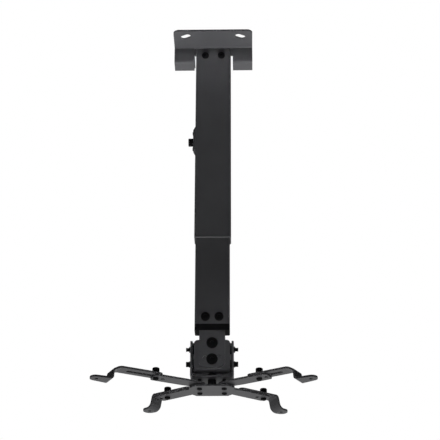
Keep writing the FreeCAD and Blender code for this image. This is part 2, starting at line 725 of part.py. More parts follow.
def make_roll_yoke():
    """The folded tray between the tongues, tapped on its four sides, with the bolts that enter it."""
    yoke = new_body("roll_yoke")
    outline = new_sketch(yoke, "XZ_Plane")
    half = "yoke_width / 2"
    draw_polygon(outline, [(f"-{half}", "-yoke_fall"), (half, "-yoke_fall"),
                           (half, "yoke_rise"), (f"-{half}", "yoke_rise")])
    pad(yoke, outline, f"2 * {YOKE_HALF}", symmetric=True)
    soften(yoke, "Fillet", "yoke_corner", ALONG_Y,
           [(f"-{half}", "0", "yoke_rise"), (half, "0", "yoke_rise")])
    soften(yoke, "Fillet", "bend_inside + yoke_gauge", ALONG_X,
           [("0", f"-{YOKE_HALF}", "-yoke_fall"), ("0", YOKE_HALF, "-yoke_fall")])
    hollow = new_sketch(yoke, "XZ_Plane")
    inside = f"({half} - yoke_gauge)"
    draw_polygon(hollow, [(f"-{inside}", "yoke_gauge - yoke_fall"), (inside, "yoke_gauge - yoke_fall"),
                          (inside, "yoke_rise + yoke_gauge"), (f"-{inside}", "yoke_rise + yoke_gauge")])
    tray = yoke.newObject("PartDesign::Pocket", "yoke_tray")
    tray.Profile = hollow
    tray.SideType = "Symmetric"
    tray.setExpression("Length", cells(f"2 * {YOKE_HALF} - 2 * yoke_gauge"))
    doc.recompute()
    front = new_sketch(yoke, "XZ_Plane")
    for z in ("0", "-roll_lock_radius"):
        draw_circle(front, "roll_bolt_dia + 2 * thread_clearance", "0", z)
    cut_through(yoke, front)
    sides = new_sketch(yoke, "YZ_Plane")
    for z in ("-tilt_drop", "-tilt_drop - tilt_lock_radius"):
        draw_circle(sides, "tilt_bolt_dia + 2 * thread_clearance", "0", z)
    cut_through(yoke, sides)
    place(keep(yoke), z=ROLL_LEVEL)

    reach = f"{NECK_HALF} + face_clearance - {YOKE_HALF} + yoke_gauge"
    levels = (("roll_pivot_bolt", ROLL_LEVEL), ("roll_lock_bolt", f"{ROLL_LEVEL} - roll_lock_radius"))
    for name, z in levels:
        pair = []
        for sign, rotation in (("-", HEAD_TO_FRONT), ("", HEAD_TO_BACK)):
            label = f"{name}_{len(pair) + 1}"
            screw = bolt(label, "roll_head_dia", "roll_head_height", "roll_bolt_dia", reach)
            place(screw, "0", f"{sign}({NECK_HALF} + face_clearance)", z, rotation)
            pair.append(screw)
        group(f"{name}s", pair)

    reach = f"{CHEEK_OUTSIDE} + face_clearance - {half} + yoke_gauge"
    spacers = []
    levels = (("tilt_pivot_bolt", "tilt_pivot_end", TILT_LEVEL),
              ("tilt_lock_bolt", "tilt_lock_head", f"{TILT_LEVEL} - tilt_lock_radius"))
    for name, end, z in levels:
        pair = []
        for sign, rotation in (("-", HEAD_TO_LEFT), ("", HEAD_TO_RIGHT)):
            label = f"{name}_{len(pair) + 1}"
            screw = stub_bolt(label, end, reach)
            place(screw, f"{sign}({CHEEK_OUTSIDE} + face_clearance)", "0", z, rotation)
            pair.append(screw)
            bore = "tilt_bolt_dia + 2 * thread_clearance"
            spacer = ring(f"tilt_spacer_{len(spacers) + 1}", "spacer_dia", bore, "tilt_spacer")
            place(spacer, f"{sign}{half}", "0", z, rotation)
            spacers.append(spacer)
        group(f"{name}s", pair)
    group("tilt_spacers", spacers)


def make_tilt_yoke():
    """The box bracket whose cheeks turn on the tilt bolts, with a back and an arc slot for each lock bolt."""
    yoke = new_body("tilt_yoke")
    outline = new_sketch(yoke, "XZ_Plane")
    out, inn, floor = CHEEK_OUTSIDE, CHEEK_INSIDE, "-cheek_fall"
    draw_polygon(outline, [
        (f"-{out}", floor), (out, floor), (out, "cheek_rise"), (inn, "cheek_rise"),
        (inn, f"cheek_gauge {floor}"), (f"-{inn}", f"cheek_gauge {floor}"),
        (f"-{inn}", "cheek_rise"), (f"-{out}", "cheek_rise"),
    ])
    pad(yoke, outline, "cheek_depth", symmetric=True)
    back = new_sketch(yoke, "YZ_Plane")
    rear = "cheek_depth / 2"
    draw_polygon(back, [(f"{rear} - cheek_gauge", floor), (rear, floor), (rear, "cheek_rise"),
                        (f"{rear} - cheek_gauge", "cheek_rise")])
    pad(yoke, back, f"{CHEEK_INSIDE} * 2 + cheek_gauge", symmetric=True)
    bends = ((out, floor, "bend_inside + cheek_gauge"), (inn, f"cheek_gauge {floor}", "bend_inside"))
    for x, z, size in bends:
        soften(yoke, "Fillet", size, ALONG_Y, [(f"-{x}", "0", z), (x, "0", z)])
    soften(yoke, "Fillet", "cheek_crown", ALONG_X, [("0", "-cheek_depth / 2", "cheek_rise")])
    soften(yoke, "Fillet", "bend_inside + cheek_gauge", ALONG_Z, [(f"-{out}", rear, "0"), (out, rear, "0")])
    sides = new_sketch(yoke, "YZ_Plane")
    draw_circle(sides, "tilt_bolt_dia + 2 * running_clearance")
    draw_arc_slot(sides, "tilt_bolt_dia + 2 * bolt_clearance", "tilt_lock_radius", "tilt_swing")
    cut_through(yoke, sides)
    middle = new_sketch(yoke, "XY_Plane")
    draw_circle(middle, "stud_thread_dia + 2 * running_clearance")
    cut_through(yoke, middle)
    place(keep(yoke), z=TILT_LEVEL)


def make_spider():
    """The plate under the head, its swivel stud and nut, and the four leg pivots."""
    plate = new_body("spider_plate")
    outline = new_sketch(plate, "XY_Plane")
    draw_rectangle(outline, "spider_width", "spider_depth")
    pad(plate, outline, "spider_gauge", downward=True)
    soften(plate, "Chamfer", "spider_corner", ALONG_Z, mirror_spots("spider_width / 2", "spider_depth / 2"))
    holes = new_sketch(plate, "XY_Plane")
    for x, y, _ in mirror_spots("pivot_side", "pivot_fore"):
        draw_circle(holes, "pivot_dia + 2 * thread_clearance", x, y)
    cut_through(plate, holes)
    place(keep(plate), z=SPIDER_TOP)

    shoulder = "swivel_gap - face_clearance"
    nut_seat = "swivel_gap + cheek_gauge + face_clearance + swivel_washer_thick"
    stud_end = f"{nut_seat} + swivel_nut_height"
    flange, shaft, thread = "stud_flange_dia / 2", "stud_dia / 2", "stud_thread_dia / 2"
    stud = turned("swivel_stud", [
        ("0", "0"), (flange, "0"), (flange, "stud_flange_height"), (shaft, "stud_flange_height"),
        (shaft, shoulder), (thread, shoulder), (thread, stud_end), ("0", stud_end),
    ])
    place(keep(stud), z=SPIDER_TOP)
    bore = "stud_thread_dia + 2 * thread_clearance"
    washer = ring("swivel_washer", "swivel_washer_dia", bore, "swivel_washer_thick")
    place(keep(washer), z=f"{SPIDER_TOP} + {nut_seat} - swivel_washer_thick")
    nut = hex_nut("swivel_nut", "swivel_nut_flats", bore, "swivel_nut_height")
    place(keep(nut), z=f"{SPIDER_TOP} + {nut_seat}")

    spacers, rivets, nuts = [], [], []
    stack = "spider_gauge + leg_spacer + face_clearance + leg_gauge + face_clearance"
    grip = f"{stack} + pivot_nut_height + pivot_bolt_end"
    bore = "pivot_dia + 2 * thread_clearance"
    for number, (x, y, _) in enumerate(mirror_spots("pivot_side", "pivot_fore"), start=1):
        spacer = ring(f"leg_spacer_{number}", "leg_spacer_dia", bore, "leg_spacer")
        place(spacer, x, y, SPIDER_TOP)
        spacers.append(spacer)
        rivet = bolt(f"pivot_bolt_{number}", "pivot_head_dia", "pivot_head_height", "pivot_dia", grip)
        place(rivet, x, y, f"{SPIDER_TOP} - spider_gauge", HEAD_DOWN)
        rivets.append(rivet)
        nut = hex_nut(f"pivot_nut_{number}", "pivot_nut_flats", bore, "pivot_nut_height")
        place(nut, x, y, f"{LEG_TOP} + face_clearance")
        nuts.append(nut)
    group("leg_spacers", spacers)
    group("leg_pivot_bolts", rivets)
    group("leg_pivot_nuts", nuts)


def make_leg(label):
    """A flat leg, narrow at its pivot, with two clamp holes to choose from."""
    leg = new_body(label)
    outline = new_sketch(leg, "XY_Plane")
    half, end = "leg_width / 2", "leg_length"
    draw_polygon(outline, [("0", "-leg_heel"), ("leg_taper", f"-{half}"), (end, f"-{half}"), (end, half),
                           ("leg_taper", half), ("0", "leg_heel")])
    pad(leg, outline, "leg_gauge")
    soften(leg, "Fillet", "leg_corner", ALONG_Z, [(end, f"-{half}", "0"), (end, half, "0")])
    heel = new_sketch(leg, "XY_Plane")
    draw_circle(heel, "2 * leg_heel")
    pad(leg, heel, "leg_gauge")
    holes = new_sketch(leg, "XY_Plane")
    draw_circle(holes, "pivot_dia + 2 * running_clearance")
    for x in (CLAMP_INNER, CLAMP_OUTER):
        draw_circle(holes, "clamp_dia + 2 * thread_clearance", x)
    cut_through(leg, holes)
    return keep(leg)


def make_arm(label, pair):
    """A slotted hook arm: flat, then ramped, dropped and turned out into a round-tipped foot."""
    arm = new_body(label)
    side = new_sketch(arm, "XZ_Plane")
    gauge, inner, drop = "arm_gauge", "-arm_length", "-hook_drop"
    ramp, fall = f"{pair}_ramp", f"{pair}_ramp_drop"
    web, tip = f"{ramp} + hook_run", f"{ramp} + hook_run + {pair}_foot"
    draw_polygon(side, [
        (inner, "0"), ("0", "0"), (f"{ramp} - arm_gauge", f"-{fall}"),
        (f"{web} - arm_gauge", drop), (tip, drop), (tip, f"{gauge} {drop}"), (web, f"{gauge} {drop}"),
        (ramp, f"{gauge} - {fall}"), ("0", gauge), (inner, gauge),
    ])
    pad(arm, side, "arm_width", symmetric=True)
    soften(arm, "Fillet", "2 * arm_gauge", ALONG_Y,
           [(ramp, "0", f"{gauge} - {fall}"), (f"{web} - arm_gauge", "0", drop)])
    soften(arm, "Fillet", "arm_gauge", ALONG_Y,
           [(f"{ramp} - arm_gauge", "0", f"-{fall}"), (web, "0", f"{gauge} {drop}")])
    half = "arm_width / 2"
    soften(arm, "Fillet", "foot_tip", ALONG_Z, [(tip, f"-{half}", "0"), (tip, half, "0")])
    soften(arm, "Fillet", "arm_corner", ALONG_Z, [(inner, f"-{half}", "0"), (inner, half, "0")])
    holes = new_sketch(arm, "XY_Plane")
    draw_slot(holes, "arm_slot_width", ("-arm_slot_far", "0"), ("-arm_slot_near", "0"))
    draw_circle(holes, "foot_hole_dia", f"{tip} - foot_hole_inset")
    cut_through(arm, holes)
    return keep(arm)


def make_knob(label):
    """A fluted thumb nut."""
    rim, top, bevel = "knob_dia / 2", "knob_height", "knob_bevel"
    bore = "clamp_dia / 2 + running_clearance"
    knob = turned(label, [(bore, "0"), (f"{rim} - {bevel}", "0"), (rim, bevel), (rim, f"{top} - {bevel}"),
                          (f"{rim} - {bevel}", top), (bore, top)])
    flute = new_sketch(knob, "XY_Plane")
    draw_circle(flute, "knob_flute_dia", rim)
    cut_through(knob, flute)
    around = knob.newObject("PartDesign::PolarPattern", f"{label}_flutes")
    around.Originals = [knob.Tip]
    around.Axis = (next(item for item in knob.Origin.OriginFeatures if item.Role == "Z_Axis"), [""])
    around.Angle = 360
    around.Occurrences = 10
    knob.Tip = around
    doc.recompute()
    return keep(knob)


def make_legs_and_arms():
    for name, x_sign, y_sign, clamp, reach in LEGS:
        angle = f"{name}_angle"
        heading = f"{x_sign * y_sign} * {angle}" if x_sign > 0 else f"180 + {x_sign * y_sign} * {angle}"
        across, along = f"{x_sign} * cos({angle} * 1 deg)", f"{y_sign} * sin({angle} * 1 deg)"

        def spot(distance):
            x = f"{x_sign} * pivot_side + {distance} * {across}"
            y = f"{y_sign} * pivot_fore + {distance} * {along}"
            return x, y

        place(make_leg(f"leg_{name}"), *spot("0"), LEG_FLOOR, angle=heading)
        place(make_arm(f"arm_{name}", name.split("_")[0]), *spot(reach), ARM_FLOOR, angle=heading)
        grip = "leg_gauge + face_clearance + arm_gauge + face_clearance + knob_height"
        screw = bolt(f"clamp_bolt_{name}", "clamp_head_dia", "clamp_head_height", "clamp_dia", grip)
        place(keep(screw), *spot(clamp), LEG_FLOOR, HEAD_DOWN)
        place(make_knob(f"clamp_knob_{name}"), *spot(clamp), f"{ARM_TOP} + face_clearance")


def check_and_write():
    """Stop on any failed object or bad solid, then write one file for each node."""
    doc.recompute()
    for item in doc.Objects:
        if "Invalid" in item.State or "Error" in item.State:
            raise ValueError(f"{item.Label} failed: {item.State}")
    os.makedirs("parts", exist_ok=True)
    for piece in exported:
        if piece.Shape.isNull() or not piece.Shape.isValid():
            raise ValueError(f"{piece.Label} has no valid shape")
    for piece in exported:
        piece.Shape.exportStep(f"parts/{piece.Label}.step")


make_ceiling_bracket()
make_tubes()
make_top_bolts()
make_side_lock()
make_neck()
make_roll_yoke()
make_tilt_yoke()
make_spider()
make_legs_and_arms()
check_and_write()
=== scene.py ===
"""Studio picture of a black telescopic projector mount, seen from below at the front."""
import json
import math

import bmesh
import bpy
from mathutils import Matrix, Vector


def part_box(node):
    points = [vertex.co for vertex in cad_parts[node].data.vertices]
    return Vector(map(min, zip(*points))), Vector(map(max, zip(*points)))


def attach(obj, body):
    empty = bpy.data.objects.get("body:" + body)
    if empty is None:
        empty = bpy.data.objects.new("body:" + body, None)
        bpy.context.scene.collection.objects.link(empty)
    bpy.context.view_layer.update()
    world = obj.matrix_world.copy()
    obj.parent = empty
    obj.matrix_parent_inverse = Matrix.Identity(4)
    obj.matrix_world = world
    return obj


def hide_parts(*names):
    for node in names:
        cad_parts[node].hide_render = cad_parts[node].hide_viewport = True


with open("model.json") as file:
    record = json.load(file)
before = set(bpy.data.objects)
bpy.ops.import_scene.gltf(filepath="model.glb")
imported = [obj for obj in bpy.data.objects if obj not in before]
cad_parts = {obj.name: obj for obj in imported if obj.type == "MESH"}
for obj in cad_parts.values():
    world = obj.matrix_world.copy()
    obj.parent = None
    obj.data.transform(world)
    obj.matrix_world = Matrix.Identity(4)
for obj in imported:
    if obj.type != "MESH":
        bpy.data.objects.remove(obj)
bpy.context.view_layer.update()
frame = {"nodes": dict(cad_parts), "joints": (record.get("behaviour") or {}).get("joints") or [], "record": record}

MM = 0.001
NODES = frame["nodes"]
JOINTS = {joint["name"]: joint for joint in frame["joints"]}
LEG_NAMES = ("near_left", "near_right", "far_left", "far_right")
FRONT, BACK, LEFT, RIGHT, DOWN, UP = (0, -1, 0), (0, 1, 0), (-1, 0, 0), (1, 0, 0), (0, 0, -1), (0, 0, 1)

# Modelling: sides of a round, segments of a sheet's bend, of a crown and of an edge, the angle below
# which facets are smoothed, how far along Z a face looks if it is an end or a side, a distance that
# counts as none, the length of a bar that cuts holes, and how many times what it passes through a
# fastener's cutter is long
ROUND = 48
BEND_SEGMENTS, CROWN_SEGMENTS, EDGE_SEGMENTS = 8, 6, 3
SMOOTH_ANGLE = math.radians(38)
END_FACING, SIDE_FACING = 0.9, 0.1
TINY = 0.01 * MM
BAR_LENGTH = 100 * MM
THROUGH = 3


def height_of(node):
    """The height of the middle of a node, which for a pair of bolts is that of their axes."""
    low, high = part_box(node)
    return (low.z + high.z) / 2


# Places of the bolts through the tubes and of the tilt's axis: heights, the tubes' faces and the bolts'
# distances from the middle
TOP_BOLT_Z = height_of("top_bolts")
NECK_BOLT_Z = height_of("neck_bolts")
TILT_Z = height_of("tilt_pivot_bolts")
TUBE_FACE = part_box("outer_tube")[1].y
INNER_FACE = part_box("inner_tube")[1].y
TOP_BOLT_SIDE, NECK_BOLT_SIDE = 11.5 * MM, 9.0 * MM

# Edges of the fasteners: bevels of a shank's tip, of a flange, of the end on it and of the thumb
# screw's rim, the bevel of a nut as a share of its width, the depth of a key's socket in a domed head
# and in an end as a share of the height, the knurl's line, depth and band (shares of the head's
# height) and the share of the head's width that only the rim lies beyond, and the driver slot
TIP_BEVEL, FLANGE_BEVEL, END_BEVEL, RIM_BEVEL = 0.4 * MM, 0.4 * MM, 0.5 * MM, 0.7 * MM
NUT_CORNER = 0.12
DOME_SOCKET, END_SOCKET = 0.5, 0.4
KNURL_LINE, KNURL_DEPTH, KNURL_BAND, KNURL_REACH = 0.05 * MM, 0.35 * MM, (0.15, 0.85), 0.45
DRIVER_SLOT_WIDTH, DRIVER_SLOT_DEPTH = 1.4 * MM, 1.2 * MM

# Hook arms: their sheet and slot, the height of the whole hook, and for the near and the far pair the
# run and fall of the ramp, the run of the drop, the length of the foot and the reach of the heel's bend
ARM_GAUGE, ARM_WIDTH, ARM_LENGTH = 2.5 * MM, 20 * MM, 56 * MM
ARM_SLOT_WIDTH, ARM_SLOT_START, ARM_SLOT_TRAVEL = 5.8 * MM, -49.5 * MM, 38.5 * MM
HOOK_DROP = 16.4 * MM
HOOKS = {
    "near": dict(ramp=14 * MM, fall=4.6 * MM, drop_run=0.9 * MM, foot=25.3 * MM, heel_reach=3.4 * MM),
    "far": dict(ramp=4 * MM, fall=1.3 * MM, drop_run=3.2 * MM, foot=15.5 * MM, heel_reach=7.4 * MM),
}
# The ramp starts level for a share of its run, and its first bend fills most of that stretch
EASE_SHARE, EASE_FILL = 0.3, 0.95
KNEE_REACH = 0.9 * MM
TIP_CORNER, TAIL_CORNER = 6.5 * MM, 5.5 * MM
FOOT_TAPER, FOOT_HOLE, FOOT_HOLE_INSET = 0.72, 4.5 * MM, 8.5 * MM

# Cheeks of the tilt bracket, in millimetres: their sheet, their reach to the front, the rise of their
# front and back over the tilt's axis, how far over it and how far behind the front the added sheet
# starts, and how far a cutter passes what it cuts
CHEEK_GAUGE, CHEEK_FRONT, CHEEK_FRONT_RISE, CHEEK_BACK_RISE = 2.7, 13.0, 7.5, 16.0
CHEEK_ROOT, CHEEK_LAP, PAST = 5.0, 1.0, 10.0

# Lid of the ceiling bracket, in millimetres: a sheet over the gaps beside the tube, with a lip in each
# gap, held a skin's depth inside the strip's faces so that no two faces coincide
LID_SIDE, LID_DEPTH, LID_GAUGE, LID_SKIN = 33.0, 9.6, 2.5, 0.01
LIP_START, LIP_DROP, LIP_GAUGE = 25.3, 13.0, 2.5

# Slots of the ceiling plate: their size, and their places from the middle and from the plate's ends
SLOT_WIDTH, SLOT_TRAVEL, SLOT_SIDE, SLOT_INSET = 9.6 * MM, 6 * MM, 39 * MM, 14.8 * MM
SLOT_TURN = math.radians(30)

# Stage, in metres: the floor's height and size, how white it looks, and the light from all round
FLOOR_Z, FLOOR_SIZE, FLOOR_WHITE = -2.4, 80.0, 0.8
AMBIENT = 0.08
# Black cards: place, size and lean in degrees
CARDS = {
    "front_card": ((0, -3.0, 0.8), (7.0, 4.0, 1), 90),
    "roof_card": ((0, 4.0, 0.8), (14.0, 10.0, 1), 0),
}
# Lamps: place, aim, width, watts and beam in degrees; of them all, gloss shows only the mirrored one
MIRRORED_LAMP = "under_fill"
LAMPS = {
    "under_fill": ((0.0, -0.3, FLOOR_Z + 0.1), (0, -0.3, 0), 2.6, 26.5, 180),
    "front_soft": ((0.2, -1.5, 0.45), (0, 0, -0.2), 0.8, 0.35, 180),
    "top_key": ((0.2, -1.5, 0.3), (0, 0, 0.01), 0.15, 0.038, 7),
    "bracket_fill": ((0.0, -0.4, -1.0), (0, -0.045, 0), 0.3, 0.35, 11),
    "head_key": ((0.0, -1.4, -0.9), (0, 0, -0.48), 0.15, 0.042, 7),
    "roof_soft": ((0.0, 0.4, 1.6), (0, 0.1, -0.2), 1.5, 20, 180),
    "rear_soft": ((-0.4, 2.0, 0.4), (0, 0, -0.25), 1.0, 6, 180),
}

# Camera: place and farthest sight in metres, turns in degrees, focal length and frame in pixels, sensor
# in millimetres
CAMERA_PLACE = (0.0454, -1.7668, -1.1365)
CAMERA_PITCH, CAMERA_YAW, CAMERA_ROLL = 26.006, -1.152, 0.138
FOCAL_PIXELS, FRAME_PIXELS, SENSOR_WIDTH = 1429.5, 440, 36.0
FARTHEST_SEEN = 50


# Materials

def linear(hex_colour):
    """An sRGB hex colour as linear red, green, blue and alpha."""
    channels = [int(hex_colour[i:i + 2], 16) / 255 for i in (1, 3, 5)]
    return [c / 12.92 if c <= 0.04045 else ((c + 0.055) / 1.055) ** 2.4 for c in channels] + [1.0]


def add(tree, kind, settings=None, **links):
    """A node with its settings, its inputs set to values or fed from other nodes' outputs. An input
    goes by its name, or by i and its number where names repeat."""
    node = tree.nodes.new(kind)
    for name, setting in (settings or {}).items():
        setattr(node, name, setting)
    for name, source in links.items():
        numbered = name[0] == "i" and name[1:].isdigit()
        socket = node.inputs[int(name[1:]) if numbered else name]
        if isinstance(source, bpy.types.NodeSocket):
            tree.links.new(source, socket)
        else:
            socket.default_value = source
    return node


def new_material(name, **values):
    """A material with one principled shader, its even values set on the shader's own sockets."""
    material = bpy.data.materials.new(name)
    material.use_nodes = True
    shader = material.node_tree.nodes["Principled BSDF"]
    for socket, value in values.items():
        shader.inputs[socket.replace("_", " ")].default_value = value
    return material, material.node_tree, shader


def cell_scale(size):
    """The scale of a texture whose cells are this many millimetres across."""
    return 1.0 / (size * MM)


def powder_coat():
    """Satin black polyester powder on steel: a soft sheen broken by fine orange peel, a shade paler
    where the coat draws thin over sheared edges."""
    material, tree, shader = new_material("satin_black_powder_coat_on_steel", Metallic=0.0, IOR=1.5,
                                          Specular_IOR_Level=0.3)
    place = add(tree, "ShaderNodeTexCoord").outputs["Object"]
    edge = add(tree, "ShaderNodeBevel", {"samples": 4}, Radius=0.5 * MM).outputs["Normal"]
    face = add(tree, "ShaderNodeNewGeometry").outputs["Normal"]
    turn = add(tree, "ShaderNodeVectorMath", {"operation": "DOT_PRODUCT"}, i0=edge, i1=face)
    thin = add(tree, "ShaderNodeMapRange", {"clamp": True}, Value=turn.outputs["Value"],
               **{"From Min": 0.80, "From Max": 1.0, "To Min": 1.0, "To Max": 0.0})
    # Tone and sheen drift over about 34 mm
    cloud = add(tree, "ShaderNodeTexNoise", Vector=place, Scale=cell_scale(34), Detail=3.0,
                Roughness=0.55)
    tone = add(tree, "ShaderNodeMix", {"data_type": "RGBA"}, i0=cloud.outputs["Fac"],
               i6=linear("#353537"), i7=linear("#3e3e40"))
    coat = add(tree, "ShaderNodeMix", {"data_type": "RGBA"}, i0=thin.outputs["Result"],
               i6=tone.outputs[2], i7=linear("#4b4b4d"))
    tree.links.new(coat.outputs[2], shader.inputs["Base Color"])
    sheen = add(tree, "ShaderNodeMapRange", Value=cloud.outputs["Fac"],
                **{"To Min": 0.40, "To Max": 0.52})
    tree.links.new(sheen.outputs["Result"], shader.inputs["Roughness"])
    # Orange peel of a sprayed powder is about 1.2 mm across
    peel = add(tree, "ShaderNodeTexNoise", Vector=place, Scale=cell_scale(1.2), Detail=2.0,
               Roughness=0.5)
    bump = add(tree, "ShaderNodeBump", Strength=0.22, Distance=0.06 * MM, Height=peel.outputs["Fac"],
               Normal=edge)
    tree.links.new(bump.outputs["Normal"], shader.inputs["Normal"])
    return material


def black_zinc():
    """Black passivated zinc on turned steel: nearly black, faintly blotched and finely grained, with a
    dull gleam."""
    material, tree, shader = new_material("black_zinc_plated_steel", Metallic=0.0, IOR=1.5,
                                          Specular_IOR_Level=0.05)
    place = add(tree, "ShaderNodeTexCoord").outputs["Object"]
    # Blotches are about 2.5 mm across
    blotch = add(tree, "ShaderNodeTexNoise", Vector=place, Scale=cell_scale(2.5), Detail=4.0,
                 Roughness=0.6)
    tone = add(tree, "ShaderNodeMix", {"data_type": "RGBA"}, i0=blotch.outputs["Fac"],
               i6=linear("#070708"), i7=linear("#0d0d0e"))
    tree.links.new(tone.outputs[2], shader.inputs["Base Color"])
    gleam = add(tree, "ShaderNodeMapRange", Value=blotch.outputs["Fac"],
                **{"To Min": 0.50, "To Max": 0.66})
    tree.links.new(gleam.outputs["Result"], shader.inputs["Roughness"])
    # The grain is about 0.35 mm across
    grain = add(tree, "ShaderNodeTexNoise", Vector=place, Scale=cell_scale(0.35), Detail=2.0)
    edge = add(tree, "ShaderNodeBevel", {"samples": 4}, Radius=0.3 * MM).outputs["Normal"]
    bump = add(tree, "ShaderNodeBump", Strength=0.18, Distance=0.03 * MM, Height=grain.outputs["Fac"],
               Normal=edge)
    tree.links.new(bump.outputs["Normal"], shader.inputs["Normal"])
    return material


def moulded_plastic():
    """Black ABS from a spark-eroded mould: flat and fine-grained, without the coat's sheen."""
    material, tree, shader = new_material("black_moulded_abs", Metallic=0.0, IOR=1.53,
                                          Specular_IOR_Level=0.05)
    place = add(tree, "ShaderNodeTexCoord").outputs["Object"]
    # The spark's grain, finer on a real mould, is drawn 0.5 mm across
    grain = add(tree, "ShaderNodeTexVoronoi", {"feature": "SMOOTH_F1"}, Vector=place,
                Scale=cell_scale(0.5))
    tone = add(tree, "ShaderNodeMix", {"data_type": "RGBA"}, i0=grain.outputs["Distance"],
               i6=linear("#080809"), i7=linear("#0e0e0f"))
    tree.links.new(tone.outputs[2], shader.inputs["Base Color"])
    dull = add(tree, "ShaderNodeMapRange", Value=grain.outputs["Distance"],
               **{"To Min": 0.55, "To Max": 0.7})
    tree.links.new(dull.outputs["Result"], shader.inputs["Roughness"])
    edge = add(tree, "ShaderNodeBevel", {"samples": 4}, Radius=0.6 * MM).outputs["Normal"]
    bump = add(tree, "ShaderNodeBump", Strength=0.25, Distance=0.03 * MM,
               Height=grain.outputs["Distance"], Normal=edge)
    tree.links.new(bump.outputs["Normal"], shader.inputs["Normal"])
    return material


FINISHES = {
    "powder_coat": powder_coat(),
    "black_hardware": black_zinc(),
    "cap_plastic": moulded_plastic(),
}
for subpart in frame["record"]["subparts"]:
    node = NODES[subpart["node"]]
    node.data.materials.clear()
    node.data.materials.append(FINISHES[subpart["material_slot"]])


# Steps of the bench that every piece shares

def clear_selection():
    bpy.ops.object.select_all(action="DESELECT")


def pick(piece):
    """Select one piece alone."""
    clear_selection()
    piece.select_set(True)
    bpy.context.view_layer.objects.active = piece


def start_edit(kind):
    """Enter edit mode, to select by face, edge or corner."""
    bpy.ops.object.mode_set(mode="EDIT")
    bpy.ops.mesh.select_mode(type=kind)


def end_edit():
    bpy.ops.object.mode_set(mode="OBJECT")


def settle(piece, place):
    """Carry a piece to its place and let its mesh hold it."""
    pick(piece)
    piece.matrix_world = place
    bpy.ops.object.transform_apply(location=True, rotation=True, scale=True)


def select_faces(piece, rule):
    """In edit mode, select the faces whose middle and normal meet the rule."""
    mesh = bmesh.from_edit_mesh(piece.data)
    for face in mesh.faces:
        face.select_set(False)
    mesh.select_flush(False)
    for face in mesh.faces:
        if rule(face.calc_center_median(), face.normal):
            face.select_set(True)
    bmesh.update_edit_mesh(piece.data)


def select_top(piece):
    select_faces(piece, lambda middle, normal: normal.z > END_FACING)


def select_edges(piece, rule):
    """In edit mode, select the edges whose two ends meet the rule."""
    mesh = bmesh.from_edit_mesh(piece.data)
    for part in (*mesh.faces, *mesh.edges, *mesh.verts):
        part.select_set(False)
    for edge in mesh.edges:
        if all(rule(point.co) for point in edge.verts):
            edge.select_set(True)
    bmesh.update_edit_mesh(piece.data)


def cut_with(piece, cutter, operation="DIFFERENCE"):
    """Cut one piece with another, or join them, and throw the other away."""
    step = piece.modifiers.new("cut", "BOOLEAN")
    step.object = cutter
    step.operation = operation
    step.solver = "EXACT"
    bpy.context.view_layer.objects.active = piece
    bpy.ops.object.modifier_apply(modifier=step.name)
    bpy.data.objects.remove(cutter)


def smooth(piece):
    pick(piece)
    bpy.ops.object.shade_smooth_by_angle(angle=SMOOTH_ANGLE)


def stand_for(piece, name, finish, body, node):
    """Name and coat a finished piece, and let it take the place of a node."""
    piece.name = name
    piece.data.materials.clear()
    piece.data.materials.append(FINISHES[finish])
    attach(piece, body)
    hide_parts(node)


# Fasteners, modelled along Z with the seat of the head at the origin, then copied to their places

def add_bar(sides, radius, depth, z):
    """A plain bar along Z, its middle at a height."""
    clear_selection()
    bpy.ops.mesh.primitive_cylinder_add(vertices=sides, radius=radius, depth=depth, location=(0, 0, z))
    return bpy.context.object


def start_headed(sides, head, height, shank, length):
    """A round head with a shank and a bevelled tip, left in edit mode."""
    piece = add_bar(sides, head / 2, height, height / 2)
    bpy.ops.object.transform_apply(location=True)
    start_edit("FACE")
    select_faces(piece, lambda middle, normal: normal.z < -END_FACING)
    bpy.ops.mesh.inset(thickness=(head - shank) / 2)
    bpy.ops.mesh.extrude_region_move(TRANSFORM_OT_translate={"value": (0, 0, -length)})
    bpy.ops.mesh.bevel(offset=TIP_BEVEL, segments=1)
    return piece


def sink_socket(piece, key, height, share):
    """Sink a hexagon socket for a key from the top, through a share of the height."""
    foot = (1 - share) * height
    cut_with(piece, add_bar(6, key / math.sqrt(3), height, foot + height / 2))


def socket_bolt(head, height, shank, length, key, crown):
    """A bolt with a crowned round head, a hexagon socket for its key and a bevelled tip."""
    piece = start_headed(ROUND, head, height, shank, length)
    select_top(piece)
    bpy.ops.mesh.bevel(offset=crown, segments=CROWN_SEGMENTS)
    end_edit()
    sink_socket(piece, key, height, DOME_SOCKET)
    smooth(piece)
    return piece


def flanged_bolt(flange, seat, end, height, shank, length, key):
    """A side bolt of the head: a round flange, a narrower end that stands out of it, and its shank."""
    piece = start_headed(ROUND, flange, seat, shank, length)
    select_top(piece)
    bpy.ops.mesh.bevel(offset=FLANGE_BEVEL, segments=EDGE_SEGMENTS)
    select_top(piece)
    bpy.ops.mesh.inset(thickness=(flange - end) / 2 - FLANGE_BEVEL)
    bpy.ops.mesh.extrude_region_move(TRANSFORM_OT_translate={"value": (0, 0, height - seat)})
    bpy.ops.mesh.bevel(offset=END_BEVEL, segments=EDGE_SEGMENTS)
    end_edit()
    if key:
        sink_socket(piece, key, height, END_SOCKET)
    smooth(piece)
    return piece


